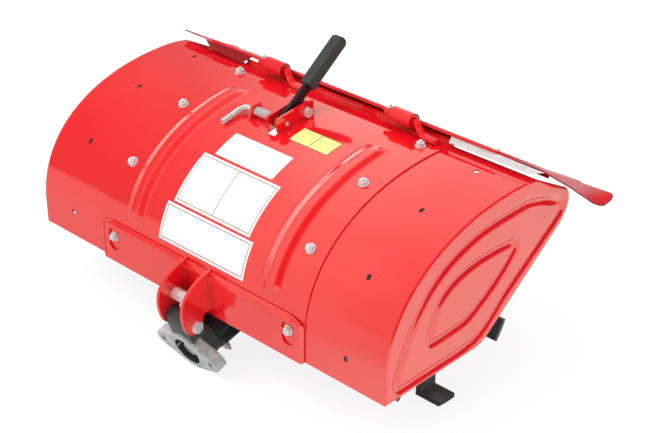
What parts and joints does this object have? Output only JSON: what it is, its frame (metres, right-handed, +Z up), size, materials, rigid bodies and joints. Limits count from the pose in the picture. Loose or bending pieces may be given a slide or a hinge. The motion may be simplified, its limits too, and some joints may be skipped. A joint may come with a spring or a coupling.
{
  "type": "rotavator attachment",
  "caption": "Rotavator with an arched sheet-steel hood, sliding side extensions, tined rotor, front two-bolt coupling, rear levelling flap and depth lever.",
  "frame": {"origin": "middle of the floor under the machine as it stands on its tines and coupling flange", "axes": "+X towards the machine's right end, along the rotor; -Y towards the coupling; +Z up"},
  "size_m": [0.8892, 0.5556, 0.4724],
  "materials": {
    "red_paint": "gloss red stove enamel",
    "black_paint": "satin black paint",
    "grey_casting": "as-cast, machined face",
    "bare_steel": "machined steel",
    "zinc_steel": "bright zinc plate",
    "grip_rubber": "matt moulded rubber"
  },
  "bodies": {
    "hood": {"hood_center": "red_paint", "hood_extension_right": "red_paint", "hood_extension_left": "red_paint", "end_cap_right": "red_paint", "end_cap_left": "red_paint", "front_strip": "red_paint", "coupling_ear_right": "red_paint", "coupling_ear_left": "red_paint", "ear_cross_bolt": "zinc_steel", "ear_spacer": "zinc_steel", "coupling_flange": "grey_casting", "drive_housing": "black_paint", "gearcase": "black_paint", "hood_mount": "black_paint", "lever_bracket_right": "red_paint", "lever_bracket_left": "red_paint", "lever_pivot_bolt": "zinc_steel", "lock_pin": "zinc_steel", "lock_pin_guide": "red_paint", "lock_pin_spring": "zinc_steel", "hinge_pin_left": "red_paint", "hinge_pin_right": "red_paint"},
    "flap": {"flap_board": "red_paint", "flap_wing_right": "red_paint", "flap_wing_left": "red_paint", "hinge_tube_left": "red_paint", "hinge_tube_right": "red_paint"},
    "lever": {"depth_lever": "black_paint", "lever_grip": "grip_rubber", "depth_skid": "black_paint"},
    "rotor": {"rotor_shaft": "black_paint", "tine_star_left_inner": "black_paint", "tine_star_left_middle": "black_paint", "tine_star_left_outer": "black_paint", "tine_star_right_inner": "black_paint", "tine_star_right_middle": "black_paint", "tine_star_right_outer": "black_paint"},
    "input": {"input_dog": "bare_steel"}
  },
  "joints": [
    {"name": "rotor_spin", "type": "hinge", "parent": "hood", "child": "rotor", "pos_m": [0, -0.01766, 0.15199], "axis": [1, 0, 0], "continuous": true},
    {"name": "input_spin", "type": "hinge", "parent": "hood", "child": "input", "pos_m": [0, -0.24566, 0.03599], "axis": [0, 0.9272, 0.3746], "continuous": true},
    {"name": "flap_hinge", "type": "hinge", "parent": "hood", "child": "flap", "pos_m": [0, 0.10834, 0.38099], "axis": [1, 0, 0], "range_deg": [0, 55]},
    {"name": "depth_lever_pivot", "type": "hinge", "parent": "hood", "child": "lever", "pos_m": [-0.012, 0.03334, 0.36999], "axis": [1, 0, 0], "range_deg": [-12, 24]}
  ],
  "couplings": [
    {"joint": "input_spin", "follows": "rotor_spin", "ratio": 4.8}
  ]
}
